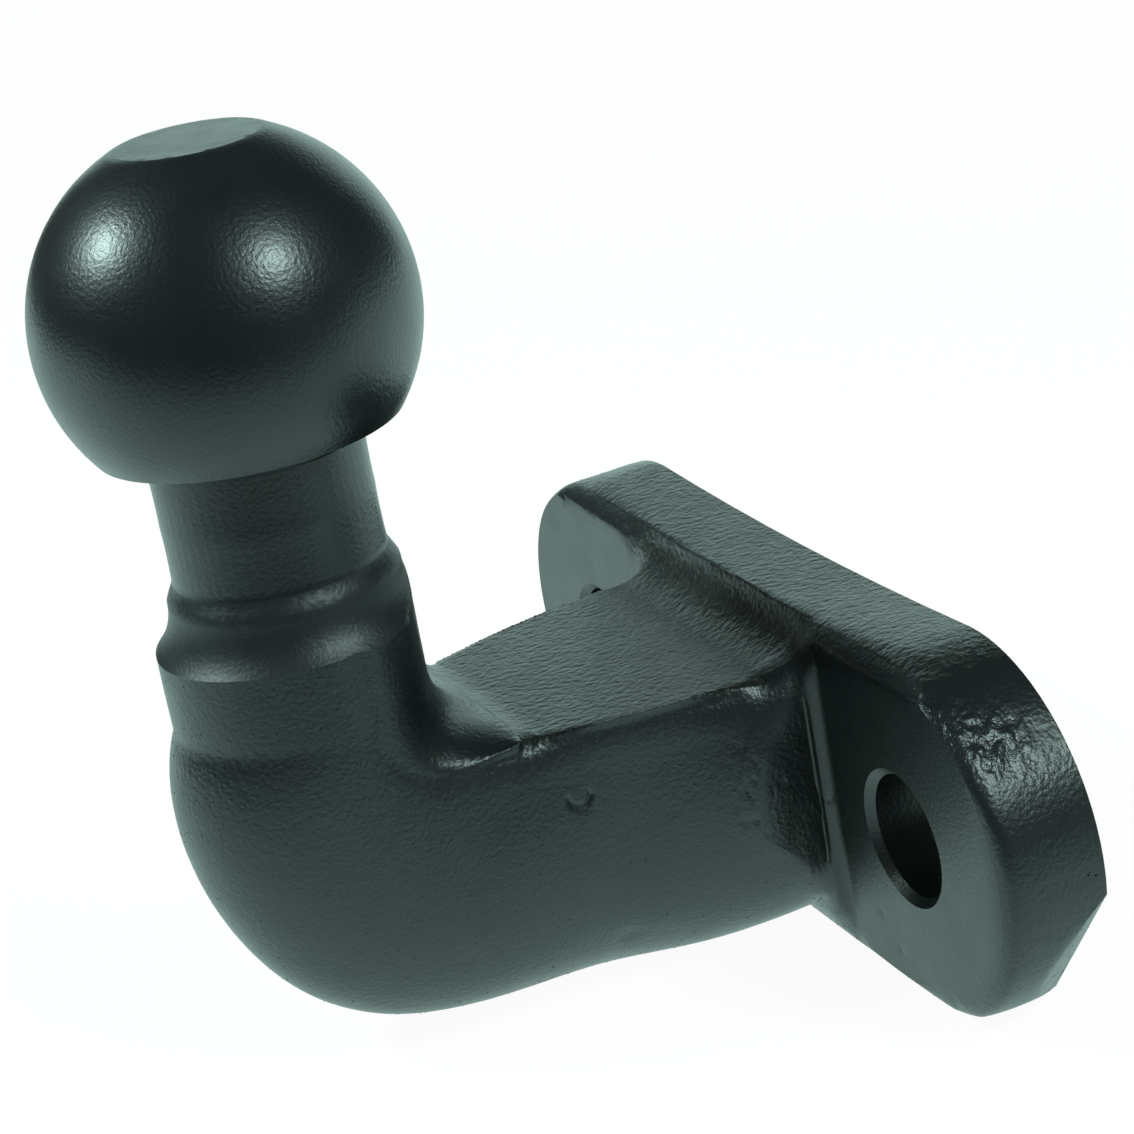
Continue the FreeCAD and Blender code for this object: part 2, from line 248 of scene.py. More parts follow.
# %% Fill the room with a little light
room_tint = (0.80, 1.0, 0.97, 1.0)
room_strength = 0.10
world = bpy.data.worlds.new("studio_air")
world.use_nodes = True
world_nodes = world.node_tree.nodes
world_links = world.node_tree.links
room = world_nodes["Background"]
room.inputs["Color"].default_value = room_tint
room.inputs["Strength"].default_value = room_strength
seen_white = world_nodes.new("ShaderNodeBackground")
seen_white.inputs["Color"].default_value = white
world_mix = world_nodes.new("ShaderNodeMixShader")
world_path = world_nodes.new("ShaderNodeLightPath")
world_links.new(world_path.outputs["Is Camera Ray"], world_mix.inputs["Fac"])
world_links.new(room.outputs["Background"], world_mix.inputs[1])
world_links.new(seen_white.outputs["Background"], world_mix.inputs[2])
world_links.new(world_mix.outputs["Shader"], world_nodes["World Output"].inputs["Surface"])
bpy.context.scene.world = world
bpy.context.scene.view_settings.view_transform = "Standard"
print("room", world.name, "strength", room_strength)

# %% [markdown]
# The solid's mesh comes as loose triangles, and the flat faces hold long thin ones. To give
# the skin real relief, a copy is joined at its seams and its long edges are halved until they
# can carry the waves. They are halved most where small marks come, and least on the flat
# mounting face, which nobody sees.

# %% Copy the solid's mesh and join its seams
joining_distance = 0.002 * MM
crease_angle = math.radians(30.0)


def joined_points_and_corners(source):
    shape = bmesh.new()
    shape.from_mesh(source.data)
    bmesh.ops.remove_doubles(shape, verts=shape.verts, dist=joining_distance)
    points = np.array([vertex.co[:] for vertex in shape.verts])
    corners = np.array([[vertex.index for vertex in face.verts] for face in shape.faces])
    shape.free()
    return points, corners


def smooth_mesh(name, points, corners):
    mesh = bpy.data.meshes.new(name)
    mesh.from_pydata(points, [], corners)
    mesh.polygons.foreach_set("use_smooth", [True] * len(mesh.polygons))
    mesh.set_sharp_from_angle(angle=crease_angle)
    return mesh


points, corners = joined_points_and_corners(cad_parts["tow_ball"])
start_mesh = smooth_mesh("joined_solid", points, corners)
corner_normals = np.array([normal.vector[:] for normal in start_mesh.corner_normals]).reshape(-1, 3, 3)
bpy.data.meshes.remove(start_mesh)
print("joined", len(points), "points", len(corners), "triangles")

# %% Name the places that the finish follows
# These are the solid's own sizes, in the part's frame
arm_top = 18.0 * MM
arm_top_start = -62.0 * MM
arm_top_end = -22.0 * MM
arm_side = 15.0 * MM
pad_face = -14.3 * MM
pad_inner_edge = 26.2 * MM
pad_corner = 2.3 * MM
hole_centre = 45.0 * MM
hole_reach = 9.7 * MM
neck_axis = -75.0 * MM
turned_above = 43.7 * MM
flare_top = 46.2 * MM
flare_end = 35.9 * MM
flare_radius = 9.4 * MM
flare_centre = 24.9 * MM
bend_place = (-49.9 * MM, 26.0 * MM)
scoop_place = (-20.0 * MM, 26.0 * MM)
trim_radius = 8.0 * MM
scoop_sides = (-29.0 * MM, 23.6 * MM)
plate_front = -12.0 * MM
crescent_place = np.array([19.7, -47.5, 9.0]) * MM

# Each dent: its middle, its reach and its depth
dents = [
    (np.array([16.7, -43.0, -15.0]) * MM, 1.5 * MM, 0.16 * MM),
    (np.array([17.4, -66.3, -9.6]) * MM, 1.1 * MM, 0.10 * MM),
    (np.array([26.2, -21.6, 4.0]) * MM, 0.7 * MM, 0.10 * MM),
    (np.array([26.8, -15.0, -0.8]) * MM, 0.6 * MM, 0.12 * MM),
    (np.array([35.9, -14.3, -14.5]) * MM, 0.8 * MM, 0.10 * MM),
    (np.array([40.1, -14.3, -18.5]) * MM, 0.7 * MM, 0.10 * MM),
    (np.array([-9.0, -88.0, 8.0]) * MM, 1.2 * MM, 0.10 * MM),
    (np.array([-21.0, -52.0, 3.0]) * MM, 1.4 * MM, 0.12 * MM),
]
pitted_place = (-25.3 * MM, 3.0 * MM)

# Each hammered patch: its middle and its reach
hammered_places = [
    (np.array([57.5, -13.8, 20.8]) * MM, 4.6 * MM),
    (np.array([62.5, -8.5, 18.0]) * MM, 4.6 * MM),
]
hammered_strength = 1.2


def hump(distance, width):
    """One at no distance, falling smoothly towards nothing beyond the width."""
    return np.exp(-(distance / width) ** 2)


def near(places, centre, reach):
    """One at the centre, falling smoothly towards nothing beyond the reach."""
    return hump(np.linalg.norm(places - centre, axis=1), reach)


def hammered_share(places):
    blows = sum(near(places, centre, reach) for centre, reach in hammered_places)
    return np.clip(blows * hammered_strength, 0.0, 1.0)


print("places", len(dents), "dents,", len(hammered_places), "hammered patches")

# %% Say how long an edge may stay
skin_edge = 1.75 * MM
fine_edge = 0.75 * MM
pit_edge = 0.50 * MM
mark_edge = 0.40 * MM
plain_edge = 12.0 * MM
hammered_from = 0.25
top_margin = 0.1 * MM
edge_band = 3.5 * MM
pitted_half_width = 3.0 * MM
pitted_half_height = 10.0 * MM
mark_reach = 2.6 * MM
back_margin = 0.05 * MM


def longest_allowed(places):
    """How long an edge with this middle may stay."""
    allowed = np.full(len(places), skin_edge)
    x, y, z = places.T
    allowed[hammered_share(places) > hammered_from] = fine_edge
    under_top = (np.abs(x) > arm_side) & (z < arm_top + top_margin) & (z > arm_top - edge_band)
    allowed[under_top & (y > arm_top_start) & (y < arm_top_end)] = fine_edge
    band = np.abs(y - pitted_place[0]) < pitted_half_width
    band &= np.abs(z - pitted_place[1]) < pitted_half_height
    allowed[band & (x > arm_side)] = pit_edge
    for centre in [crescent_place] + [dent[0] for dent in dents]:
        allowed[np.linalg.norm(places - centre, axis=1) < mark_reach] = mark_edge
    allowed[y > -back_margin] = plain_edge
    return allowed


print("edges in mm: skin", round(skin_edge / MM, 2), "small marks", round(mark_edge / MM, 2))

# %% Halve the long edges
most_rounds = 90
most_bulge = 0.10 * MM
rise_share = 1.0 / 16.0


def halve_long_edges(points, corners, corner_normals):
    """Cuts each triangle across its longest edge, with its neighbour, while that is too long.

    The normals at an edge's ends say how far its middle has to stand out of the chord, so a
    round surface stays round. Each of the two faces at the edge gives its share of that rise.
    A limit keeps a flat wall flat where it meets a curved one at a shallow angle.
    """
    for halving in range(most_rounds):
        sides = corners[:, [[0, 1], [1, 2], [2, 0]]]
        runs = points[sides[:, :, 1]] - points[sides[:, :, 0]]
        first_normals = corner_normals
        last_normals = corner_normals[:, [1, 2, 0]]
        rises = last_normals * (runs * last_normals).sum(axis=2)[:, :, None]
        rises -= first_normals * (runs * first_normals).sum(axis=2)[:, :, None]
        sides = np.sort(sides, axis=2).reshape(-1, 2)
        keys = sides[:, 0] * len(points) + sides[:, 1]
        names, first, place = np.unique(keys, return_index=True, return_inverse=True)
        ends = points[sides[first]]
        middles = ends.mean(axis=1)
        length = np.linalg.norm(ends[:, 0] - ends[:, 1], axis=1)
        bulge = np.zeros_like(middles)
        np.add.at(bulge, place.ravel(), rises.reshape(-1, 3) * rise_share)
        bulge *= most_bulge / np.maximum(np.linalg.norm(bulge, axis=1), most_bulge)[:, None]
        rank = np.empty(len(names), dtype=np.int64)
        rank[np.lexsort((names, length))] = np.arange(len(names))
        place = place.reshape(-1, 3)
        top = rank[place].argmax(axis=1)
        cut = length > longest_allowed(middles)
        for side in range(3):
            cut[place[top != side, side]] = False
        if not cut.any():
            break
        middle = np.full(len(names), -1)
        middle[cut] = len(points) + np.arange(cut.sum())
        points = np.vstack([points, middles[cut] + bulge[cut]])
        rows = np.arange(len(corners))
        chosen = middle[place[rows, top]]
        halved = chosen >= 0
        new = chosen[halved]
        one, two, three = [corners[rows, (top + turn) % 3][halved] for turn in range(3)]
        at_one, at_two, at_three = [corner_normals[rows, (top + turn) % 3][halved] for turn in range(3)]
        at_new = at_one + at_two
        at_new /= np.linalg.norm(at_new, axis=1)[:, None]
        corners = np.vstack([
            corners[~halved], np.column_stack([one, new, three]), np.column_stack([new, two, three]),
        ])
        corner_normals = np.vstack([
            corner_normals[~halved],
            np.stack([at_one, at_new, at_three], axis=1),
            np.stack([at_new, at_two, at_three], axis=1),
        ])
    return points, corners


points, corners = halve_long_edges(points, corners, corner_normals)
skin_mesh = smooth_mesh("painted_forging", points, corners)
skin = bpy.data.objects.new("painted_forging", skin_mesh)
bpy.context.scene.collection.objects.link(skin)
print("skin", len(skin_mesh.vertices), "points", len(skin_mesh.polygons), "triangles")

# %% [markdown]
# Four trades left their marks under the one coat of paint. The dies left a grainy, faintly
# wavy skin, the lathe a smooth one, the cutter flat pads, and the trimming shears a torn
# grain along the arm's flat top. Each triangle gets its trade by where it lies, and the
# paint reads that from an attribute on the faces. The turned flare below the neck has an
# attribute of its own, since the paint is duller there.

# %% Give each triangle its trade
on_surface = 0.12 * MM
facing = 0.99
facing_partly = 0.35
plate_top_reach = 53.0 * MM

first_corners, second_corners, third_corners = [points[corners[:, turn]] for turn in range(3)]
face_normals = np.cross(second_corners - first_corners, third_corners - first_corners)
face_normals /= np.linalg.norm(face_normals, axis=1)[:, None]
middles = points[corners].mean(axis=1)
x, y, z = middles.T

from_neck = np.hypot(x, y - neck_axis)
flare_depth = np.clip(turned_above - z, 0.0, flare_radius)
flare_line = flare_centre - np.sqrt(flare_radius ** 2 - flare_depth ** 2)
turned = (z > turned_above) | ((z > flare_end) & (np.abs(from_neck - flare_line) < on_surface))
machined = (np.abs(y - pad_face) < on_surface) & (np.abs(x) > pad_inner_edge)
machined |= np.hypot(np.abs(x) - hole_centre, z) < hole_reach
on_wall = (np.abs(np.abs(x) - pad_inner_edge) < on_surface) & (y < pad_face)
machined |= on_wall & (np.abs(face_normals[:, 0]) > facing)
beside_wall = (np.abs(x) > pad_inner_edge - on_surface) & (np.abs(x) < pad_inner_edge + pad_corner)
machined |= beside_wall & (y < pad_face) & (y > pad_face - pad_corner)
in_flare = turned & (z < flare_top)
in_scoop = (x > scoop_sides[0]) & (x < scoop_sides[1])
on_scoop = np.abs(np.hypot(y - scoop_place[0], z - scoop_place[1]) - trim_radius) < on_surface
on_bend = np.abs(np.hypot(y - bend_place[0], z - bend_place[1]) - trim_radius) < on_surface
trimmed = (np.abs(z - arm_top) < on_surface) & (face_normals[:, 2] > facing)
trimmed |= on_scoop & in_scoop & (y > scoop_place[0]) & (z < scoop_place[1])
trimmed |= on_bend & (y < bend_place[0]) & (z < bend_place[1])
on_plate_top = (y > plate_front) & (face_normals[:, 2] > facing_partly)
trimmed |= on_plate_top & (np.abs(x) < plate_top_reach) & ~machined
mounting = (y > -on_surface) & (face_normals[:, 1] > facing)
forged = ~(turned | machined | trimmed | mounting)


def face_attribute(name, chosen):
    layer = skin_mesh.attributes.new(name, "FLOAT", "FACE")
    layer.data.foreach_set("value", chosen.astype(np.float32))


for name, chosen in (
    ("forged", forged), ("machined", machined), ("trimmed", trimmed), ("flare", in_flare),
):
    face_attribute(name, chosen)
    print(name, int(chosen.sum()), "triangles")

# %% [markdown]
# Blasting, hammering and paint round off the sharpest corners. Here each point near such a
# corner moves a little towards the middle of its neighbours, again and again. How far it may
# move depends on its place, so the turned and the drilled edges stay crisp.

# %% Soften what the hammer and the paint rounded
soft_rounds = 26
soft_step = 0.5
soft_bend = np.array([0.0, -55.0, 20.5]) * MM
soft_bend_reach = 7.0 * MM
soft_bend_above = 17.0 * MM
soft_bend_start = -64.0 * MM
soft_ridge_width = 2.2 * MM
soft_ridge_above = 20.0 * MM
soft_ridge_reach = 52.0 * MM
soft_scoop_end = np.array([23.6, -18.5, 18.5]) * MM
soft_scoop_reach = 4.5 * MM
soft_lobe_radius = 22.8 * MM
soft_lobe_width = 2.2 * MM
soft_lobe_front = -9.0 * MM
soft_lobe_inside = 44.0 * MM
soft_lobe_top = 15.0 * MM
soft_lobe_fade = 8.0 * MM
soft_wall_width = 2.6 * MM
soft_wall_margin = 0.2 * MM
soft_wall_height = 27.0 * MM
soft_wall_height_fade = 4.0 * MM
soft_wall_start = -34.0 * MM
soft_wall_start_fade = 6.0 * MM
much_softened = 0.1


def rising(distance, fade):
    """Nothing up to no distance, then straight up to one at the end of the fade."""
    return np.clip(distance / fade, 0.0, 1.0)


def soft_share(places):
    """How far each point may settle towards its neighbours: most at the worn corners."""
    x, y, z = places.T
    bend = near(places * [0.0, 1.0, 1.0], soft_bend, soft_bend_reach)
    bend = np.where((z > soft_bend_above) & (y > soft_bend_start), bend, 0.0)
    plate_ridge = hump(y - plate_front, soft_ridge_width)
    plate_ridge = plate_ridge * (z > soft_ridge_above) * (np.abs(x) < soft_ridge_reach)
    scoop_end = near(places, soft_scoop_end, soft_scoop_reach)
    from_hole = np.hypot(np.abs(x) - hole_centre, z)
    lobe_edge = hump(from_hole - soft_lobe_radius, soft_lobe_width)
    lobe_edge = lobe_edge * (y < soft_lobe_front) * (x > soft_lobe_inside)
    lobe_edge = lobe_edge * rising(soft_lobe_top - z, soft_lobe_fade)
    wall = hump(np.abs(x) - pad_inner_edge, soft_wall_width)
    wall = wall * rising(soft_wall_height - np.abs(z), soft_wall_height_fade)
    wall = wall * (y < pad_face + soft_wall_margin) * rising(y - soft_wall_start, soft_wall_start_fade)
    return np.clip(bend + plate_ridge + scoop_end + lobe_edge + wall, 0.0, 1.0)


def soften(points, corners):
    """Moves each point towards the middle of its neighbours, by its share, again and again."""
    sides = np.vstack([corners[:, [0, 1]], corners[:, [1, 2]], corners[:, [2, 0]]])
    both = np.vstack([sides, sides[:, ::-1]])
    count = np.bincount(both[:, 0], minlength=len(points))[:, None]
    share = soft_share(points)[:, None] * soft_step
    for turn in range(soft_rounds):
        around = points[both[:, 1]]
        total = np.stack([
            np.bincount(both[:, 0], weights=around[:, axis], minlength=len(points)) for axis in range(3)
        ], axis=1)
        points = points + share * (total / count - points)
    return points


points = soften(points, corners)
skin_mesh.vertices.foreach_set("co", points.astype(np.float32).ravel())
skin_mesh.update()
print("softened", int((soft_share(points) > much_softened).sum()), "points")

# %% [markdown]
# The relief is worked into the mesh, so that it shows on the outline. Smooth noise gives the forged skin
# its waves. The arm's sides have a groove just under the trimmed edge and a soft ridge below it, where
# the dies met. Then come the marks of use: a patch of hammer blows, a few dents, a crescent nick and a
# band of small pits. The heights are added up first and the points are moved once, along their normals.

# %% Raise the waves and the ridge
wave_size = 15.0 * MM
wave_height = 0.11 * MM
ripple_size = 4.5 * MM
ripple_height = 0.03 * MM
groove_drop = 1.1 * MM
groove_width = 0.7 * MM
groove_depth = 0.20 * MM
ridge_drop = 4.3 * MM
ridge_width = 1.7 * MM
ridge_height = 0.13 * MM
wander_size = 6.0 * MM
wander_share = 0.4
start_fade = 6.0 * MM
end_fade = 5.0 * MM
seed_shift = (7.31, 3.17, 5.53)


def smooth_noise(places, size, seed):
    """Noise from -1 to 1 with hills about this far apart."""
    shift = Vector([seed * part for part in seed_shift])
    return np.array([noise.noise(Vector(place) / size + shift) for place in places])


def inside_box(places):
    return np.clip(places, np.array(solid_box[0]), np.array(solid_box[1]))


def only_inside(chosen):
    """One for each point whose faces are all chosen, and nothing for the others."""
    share = np.ones(len(points))
    share[corners[~chosen].ravel()] = 0.0
    return share


def step_up(value, start, end):
    """Nothing at the start and one at the end, with a smooth rise between."""
    share = np.clip((value - start) / (end - start), 0.0, 1.0)
    return share * share * (3.0 - 2.0 * share)


normals = np.array([normal.vector[:] for normal in skin_mesh.vertex_normals])
px, py, pz = points.T
on_forged = only_inside(forged)
relief = on_forged * wave_height * smooth_noise(points, wave_size, seed=1)
relief += on_forged * ripple_height * smooth_noise(points, ripple_size, seed=2)

along_arm = step_up(py, arm_top_start, arm_top_start + start_fade)
along_arm = along_arm * step_up(-py, -arm_top_end, -arm_top_end + end_fade)
beside_arm = on_forged * along_arm * (np.abs(px) > arm_side)
wander = 1.0 + wander_share * smooth_noise(points, wander_size, seed=3)
below_top = arm_top - pz
relief -= beside_arm * groove_depth * wander * hump(below_top - groove_drop, groove_width)
relief += beside_arm * ridge_height * hump(below_top - ridge_drop, ridge_width)
print("waves from", round(relief.min() / MM, 3), "to", round(relief.max() / MM, 3), "mm")

# %% Press in the marks
hammer_size = 2.6 * MM
hammer_height = 0.30 * MM
crescent_radius = 1.5 * MM
crescent_line = 0.34 * MM
crescent_depth = 0.36 * MM
crescent_opening = 0.6
pit_size = 0.75 * MM
pit_depth = 0.45 * MM
pit_stretch = np.array([1.0, 1.0, 0.35])
pit_threshold = 0.1
pit_band_width = 2.4 * MM
pit_band_height = 8.0 * MM

hammered = on_forged * hammered_share(points)
chips = 1.0 - 2.0 * np.abs(smooth_noise(points, hammer_size, seed=4))
relief += hammered * hammer_height * (chips - 1.0)

for centre, reach, depth in dents:
    relief -= depth * near(points, centre, reach)
across_crescent = points - crescent_place
from_crescent = np.hypot(across_crescent[:, 1], across_crescent[:, 2])
open_above = step_up(crescent_radius * crescent_opening - across_crescent[:, 2], 0.0, crescent_radius)
on_side = (px > arm_side).astype(float)
relief -= on_side * crescent_depth * open_above * hump(from_crescent - crescent_radius, crescent_line)

pitted = on_forged * on_side * hump(py - pitted_place[0], pit_band_width)
pitted = pitted * hump(pz - pitted_place[1], pit_band_height)
pits = smooth_noise(points * pit_stretch, pit_size, seed=5)
relief -= pitted * pit_depth * np.clip(pits - pit_threshold, 0.0, 1.0)

shaped = inside_box(points + normals * relief[:, None])
skin_mesh.vertices.foreach_set("co", shaped.astype(np.float32).ravel())
skin_mesh.update()
hammered_layer = skin_mesh.attributes.new("hammered", "FLOAT", "POINT")
hammered_layer.data.foreach_set("value", hammered.astype(np.float32))
print("relief from", round(relief.min() / MM, 3), "to", round(relief.max() / MM, 3), "mm")

# %% [markdown]
# One tin of satin black paint covers everything, so there is one material, and the steel
# under it makes the difference. On turned steel the coat is nearly smooth, and only its
# orange peel breaks the lamps' reflections. On the forged skin the grain shows through and
# blurs them. Bump does this fine work, because such grains are too small and too many for a
# mesh, and each layer of bump is switched by the trade that the face's attribute names.

# %% Mix the paint
paint = bpy.data.materials.new("satin_black_paint")
paint.use_nodes = True
paint_nodes = paint.node_tree.nodes
paint_links = paint.node_tree.links
shader = paint_nodes["Principled BSDF"]
paint_ior = 1.65
shader.inputs["IOR"].default_value = paint_ior


def paint_node(kind, **settings):
    made = paint_nodes.new(kind)
    for name, value in settings.items():
        setattr(made, name, value)
    return made


def attribute(name):
    return paint_node("ShaderNodeAttribute", attribute_name=name).outputs["Fac"]


def number(operation, first, second):
    """A Math node on two sockets or plain numbers."""
    made = paint_node("ShaderNodeMath", operation=operation)
    for socket, value in zip(made.inputs, (first, second)):
        if isinstance(value, float):
            socket.default_value = value
        else:
            paint_links.new(value, socket)
    return made.outputs["Value"]


def grain(size, detail, stretch=(1.0, 1.0, 1.0)):
    """Noise with grains of this size, drawn out where the stretch is under one."""
    mapping = paint_node("ShaderNodeMapping")
    mapping.inputs["Scale"].default_value = stretch
    made = paint_node("ShaderNodeTexNoise")
    made.inputs["Scale"].default_value = 1.0 / size
    made.inputs["Detail"].default_value = detail
    paint_links.new(coordinates.outputs["Object"], mapping.inputs["Vector"])
    paint_links.new(mapping.outputs["Vector"], made.inputs["Vector"])
    return made.outputs["Fac"]


def bump_layer(height, depth, share, below):
    """A layer of bump of this depth, on top of the layer below it."""
    made = paint_node("ShaderNodeBump")
    made.inputs["Distance"].default_value = depth
    paint_links.new(height, made.inputs["Height"])
    if isinstance(share, float):
        made.inputs["Strength"].default_value = share
    else:
        paint_links.new(share, made.inputs["Strength"])
    if below is not None:
        paint_links.new(below, made.inputs["Normal"])
    return made.outputs["Normal"]


coordinates = paint_node("ShaderNodeTexCoord")
is_forged = attribute("forged")
is_trimmed = attribute("trimmed")
is_machined = attribute("machined")
is_flare = attribute("flare")
is_hammered = attribute("hammered")
print("paint", paint.name, "refracts with", paint_ior)

# %% Layer the grain
even = (1.0, 1.0, 1.0)
along_shears = (1.0, 0.7, 1.0)
along_blows = (1.0, 1.0, 0.4)

# Each layer of bump: size of its grains, detail, stretch, depth, and where it shows
grain_layers = (
    (0.55 * MM, 2.0, even, 0.058 * MM, 1.0),
    (0.70 * MM, 4.0, even, 0.095 * MM, is_forged),
    (3.00 * MM, 3.0, even, 0.060 * MM, is_forged),
    (0.90 * MM, 6.0, along_shears, 0.240 * MM, is_trimmed),
    (2.00 * MM, 3.0, along_blows, 0.550 * MM, is_hammered),
)
surface = None
for size, detail, stretch, depth, share in grain_layers:
    surface = bump_layer(grain(size, detail, stretch), depth, share, surface)
paint_links.new(surface, shader.inputs["Normal"])
print("grain", len(grain_layers), "layers")

# %% Set the gloss
turned_roughness = 0.34
roughness_changes = (
    (is_forged, 0.03), (is_trimmed, -0.02), (is_machined, 0.06), (is_flare, 0.12), (is_hammered, -0.02),
)
patch_size = 6.0 * MM
patch_detail = 3.0
patch_roughness = 0.12
noise_middle = 0.5

patches = grain(patch_size, patch_detail)
roughness = turned_roughness
for share, change in roughness_changes:
    roughness = number("ADD", roughness, number("MULTIPLY", share, change))
uneven = number("MULTIPLY", number("SUBTRACT", patches, noise_middle), patch_roughness)
paint_links.new(number("ADD", roughness, uneven), shader.inputs["Roughness"])
print("gloss", turned_roughness, "on turned steel, and", len(roughness_changes), "changes")

# %% Set the colour
thick_paint = (0.0042, 0.0090, 0.0100, 1.0)
thin_paint = (0.0072, 0.0120, 0.0120, 1.0)
rubbed_paint = (0.034, 0.032, 0.029, 1.0)
rubbed_size = 0.8 * MM
rubbed_detail = 5.0
rubbed_stretch = (1.0, 0.4, 1.0)
rubbed_above = 0.54
rubbed_strength = 0.6

tone = paint_node("ShaderNodeMix", data_type="RGBA")
tone.inputs["A"].default_value = thick_paint
tone.inputs["B"].default_value = thin_paint
worn = paint_node("ShaderNodeMix", data_type="RGBA")
worn.inputs["B"].default_value = rubbed_paint
rubbed_grain = grain(rubbed_size, rubbed_detail, rubbed_stretch)
rubbed = number("MULTIPLY", number("GREATER_THAN", rubbed_grain, rubbed_above), is_trimmed)
paint_links.new(patches, tone.inputs["Factor"])
paint_links.new(number("MULTIPLY", rubbed, rubbed_strength), worn.inputs["Factor"])
paint_links.new(tone.outputs["Result"], worn.inputs["A"])
paint_links.new(worn.outputs["Result"], shader.inputs["Base Color"])
skin_mesh.materials.append(paint)
print("paint", len(paint_nodes), "nodes")

# %% [markdown]
# Two things repeat over this skin and are best grown by Geometry Nodes. Grains of mill scale
# stuck to the hot steel and were painted over, so they are scattered on the forged faces.
# The shears left a thin burr, so a row of flat chips follows the edges of the arm's top.
# Each tree gets its sizes through named inputs, and its seed is fixed, so it grows the same
# every time. The result is then turned into a plain mesh.

# %% Helpers for growing pieces
def new_tree(name, inputs):
    tree = bpy.data.node_groups.new(name, "GeometryNodeTree")
    tree.interface.new_socket("Geometry", in_out="INPUT", socket_type="NodeSocketGeometry")
    for label, kind in inputs:
        tree.interface.new_socket(label, in_out="INPUT", socket_type=kind)
    tree.interface.new_socket("Geometry", in_out="OUTPUT", socket_type="NodeSocketGeometry")
    return tree


def random_value(tree, low, high, seed):
    """A random set of three sizes, each between its low and its high value."""
    made = tree.nodes.new("FunctionNodeRandomValue")
    made.data_type = "FLOAT_VECTOR"
    sockets = [socket for socket in made.inputs if socket.enabled]
    sockets[0].default_value = low
    sockets[1].default_value = high
    tree.links.new(seed, made.inputs["Seed"])
    return [socket for socket in made.outputs if socket.enabled][0]


def finish_tree(tree, grown, leaving):
    """Ends the tree in Realize Instances and Set Material."""
    real = tree.nodes.new("GeometryNodeRealizeInstances")
    painted = tree.nodes.new("GeometryNodeSetMaterial")
    painted.inputs["Material"].default_value = paint
    tree.links.new(grown, real.inputs["Geometry"])
    tree.links.new(real.outputs["Geometry"], painted.inputs["Geometry"])
    tree.links.new(painted.outputs["Geometry"], leaving.inputs[0])


def grow(name, carrier_mesh, tree, values):
    """Runs the tree on a mesh and keeps what grew as a plain mesh of its own."""
    piece = bpy.data.objects.new(name, carrier_mesh)
    bpy.context.scene.collection.objects.link(piece)
    modifier = piece.modifiers.new(name, "NODES")
    modifier.node_group = tree
    for item in tree.interface.items_tree:
        if item.in_out == "INPUT" and item.name in values:
            modifier[item.identifier] = values[item.name]
    bpy.context.view_layer.update()
    seen = piece.evaluated_get(bpy.context.evaluated_depsgraph_get())
    grown = bpy.data.meshes.new_from_object(seen)
    places = inside_box(np.array([vertex.co[:] for vertex in grown.vertices]))
    grown.vertices.foreach_set("co", places.astype(np.float32).ravel())
    piece.modifiers.clear()
    piece.data = grown
    grown.polygons.foreach_set("use_smooth", [True] * len(grown.polygons))
    print(name, len(grown.polygons), "faces")
    return piece


# %% Scatter the grains of scale
grain_flatness = (1.0, 1.0, 0.45)
smallest_grain = (0.4, 0.4, 0.4)
largest_grain = (1.3, 1.1, 1.0)
scale_sizes = {"Grains per square metre": 70000.0, "Grain radius": 0.17 * MM, "Seed": 7}

scale_tree = new_tree("mill_scale", (
    ("Grains per square metre", "NodeSocketFloat"),
    ("Grain radius", "NodeSocketFloat"),
    ("Seed", "NodeSocketInt"),
))
entering = scale_tree.nodes.new("NodeGroupInput")
leaving = scale_tree.nodes.new("NodeGroupOutput")
where = scale_tree.nodes.new("GeometryNodeInputNamedAttribute")
where.data_type = "FLOAT"
where.inputs["Name"].default_value = "forged"
spread = scale_tree.nodes.new("GeometryNodeDistributePointsOnFaces")
one_grain = scale_tree.nodes.new("GeometryNodeMeshIcoSphere")
one_grain.inputs["Subdivisions"].default_value = 1
flattened = scale_tree.nodes.new("GeometryNodeTransform")
flattened.inputs["Scale"].default_value = grain_flatness
placed = scale_tree.nodes.new("GeometryNodeInstanceOnPoints")
scale_links = scale_tree.links
scale_links.new(entering.outputs["Geometry"], spread.inputs["Mesh"])
scale_links.new([socket for socket in where.outputs if socket.enabled][0], spread.inputs["Selection"])
scale_links.new(entering.outputs["Grains per square metre"], spread.inputs["Density"])
scale_links.new(entering.outputs["Seed"], spread.inputs["Seed"])
scale_links.new(entering.outputs["Grain radius"], one_grain.inputs["Radius"])
scale_links.new(one_grain.outputs["Mesh"], flattened.inputs["Geometry"])
scale_links.new(spread.outputs["Points"], placed.inputs["Points"])
scale_links.new(spread.outputs["Rotation"], placed.inputs["Rotation"])
scale_links.new(flattened.outputs["Geometry"], placed.inputs["Instance"])
grain_sizes = random_value(scale_tree, smallest_grain, largest_grain, entering.outputs["Seed"])
scale_links.new(grain_sizes, placed.inputs["Scale"])
finish_tree(scale_tree, placed.outputs["Instances"], leaving)
mill_scale = grow("mill_scale", skin_mesh.copy(), scale_tree, scale_sizes)

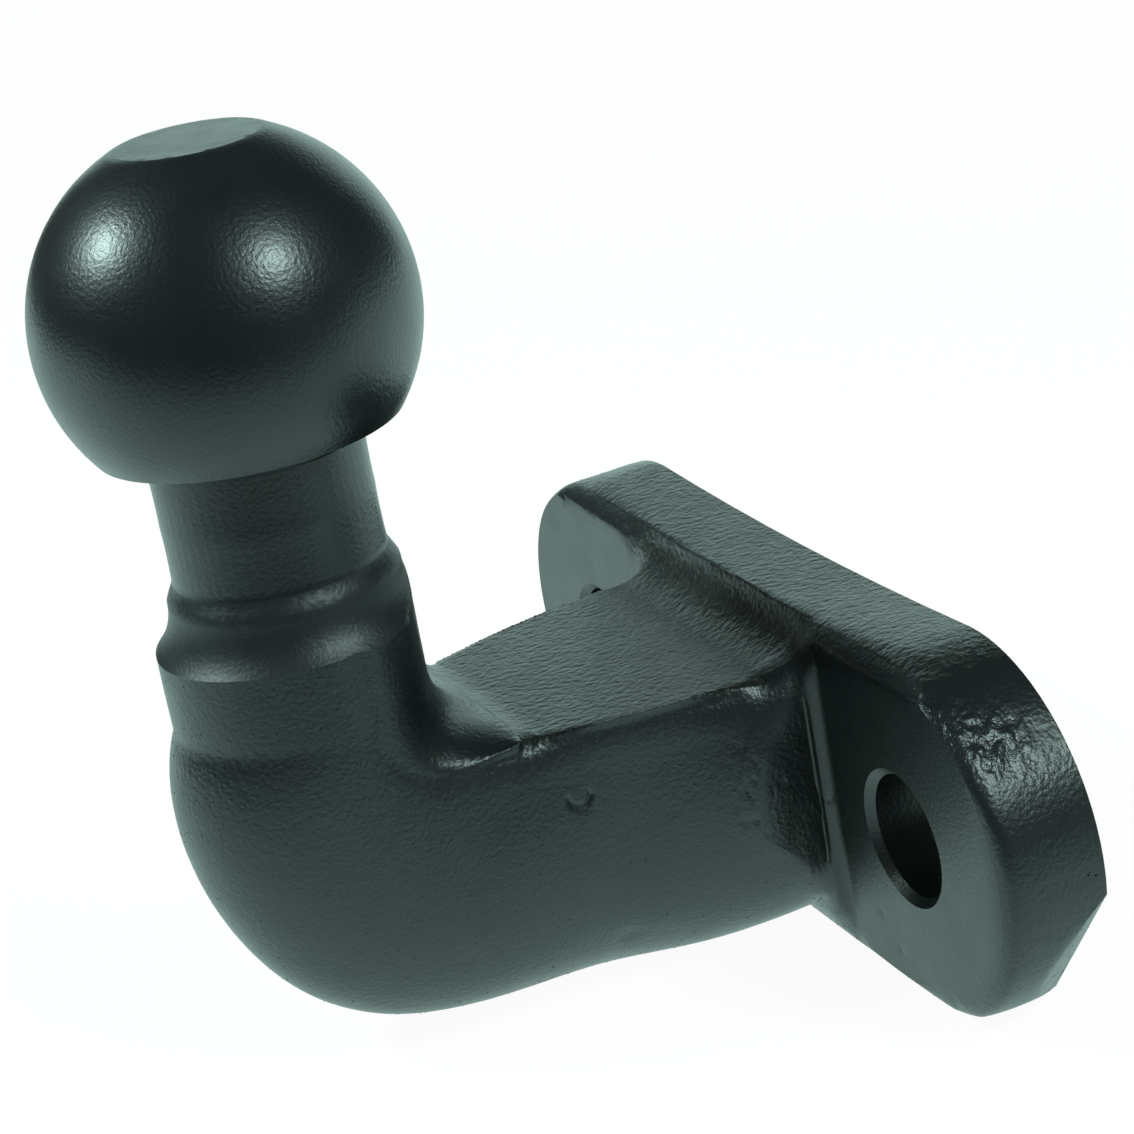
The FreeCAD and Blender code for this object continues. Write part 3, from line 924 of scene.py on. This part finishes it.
# %% Find the trimmed edges
def trimmed_edges():
    """The edges between the arm's flat top and its forged sides, as a mesh of lines."""
    flat = trimmed & (face_normals[:, 2] > facing) & (middles[:, 2] < arm_top + top_margin)
    sides = np.sort(corners[:, [[0, 1], [1, 2], [2, 0]]], axis=2).reshape(-1, 2)
    keys = sides[:, 0] * len(points) + sides[:, 1]
    names, first, place = np.unique(keys, return_index=True, return_inverse=True)
    flats = np.bincount(place.ravel(), weights=np.repeat(flat, 3))
    forged_sides = np.bincount(place.ravel(), weights=np.repeat(forged, 3))
    chosen = sides[first[(flats == 1) & (forged_sides == 1)]]
    used, ends = np.unique(chosen, return_inverse=True)
    lines = bpy.data.meshes.new("trimmed_edges")
    lines.from_pydata(shaped[used], ends.reshape(-1, 2), [])
    return lines


edge_lines = trimmed_edges()
print("trimmed edges", len(edge_lines.edges), "pieces of line")

# %% Grow the burr along them
chip_thinness = (0.45, 0.32, 1.0)
smallest_chip = (0.35, 0.3, 0.5)
largest_chip = (1.0, 1.0, 1.3)
burr_sizes = {"Spacing": 0.8 * MM, "Chip size": 0.40 * MM, "Seed": 11}

burr_tree = new_tree("trim_burr", (
    ("Spacing", "NodeSocketFloat"), ("Chip size", "NodeSocketFloat"), ("Seed", "NodeSocketInt"),
))
entering = burr_tree.nodes.new("NodeGroupInput")
leaving = burr_tree.nodes.new("NodeGroupOutput")
lined = burr_tree.nodes.new("GeometryNodeMeshToCurve")
spaced = burr_tree.nodes.new("GeometryNodeCurveToPoints")
spaced.mode = "LENGTH"
one_chip = burr_tree.nodes.new("GeometryNodeMeshIcoSphere")
one_chip.inputs["Subdivisions"].default_value = 1
thinned = burr_tree.nodes.new("GeometryNodeTransform")
thinned.inputs["Scale"].default_value = chip_thinness
placed = burr_tree.nodes.new("GeometryNodeInstanceOnPoints")
burr_links = burr_tree.links
burr_links.new(entering.outputs["Geometry"], lined.inputs["Mesh"])
burr_links.new(lined.outputs["Curve"], spaced.inputs["Curve"])
burr_links.new(entering.outputs["Spacing"], spaced.inputs["Length"])
burr_links.new(entering.outputs["Chip size"], one_chip.inputs["Radius"])
burr_links.new(one_chip.outputs["Mesh"], thinned.inputs["Geometry"])
burr_links.new(spaced.outputs["Points"], placed.inputs["Points"])
burr_links.new(spaced.outputs["Rotation"], placed.inputs["Rotation"])
burr_links.new(thinned.outputs["Geometry"], placed.inputs["Instance"])
chip_sizes = random_value(burr_tree, smallest_chip, largest_chip, entering.outputs["Seed"])
burr_links.new(chip_sizes, placed.inputs["Scale"])
finish_tree(burr_tree, placed.outputs["Instances"], leaving)
trim_burr = grow("trim_burr", edge_lines, burr_tree, burr_sizes)

# %% [markdown]
# The tow ball is one forging and nothing on it moves. So the skin, the grains and the burr all ride on
# the part's only body, and all of them share the one black paint. The skin takes the place of the plain
# solid.

# %% Hand over
for piece in (skin, mill_scale, trim_burr):
    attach(piece, "root")
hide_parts("tow_ball")
bpy.context.view_layer.update()
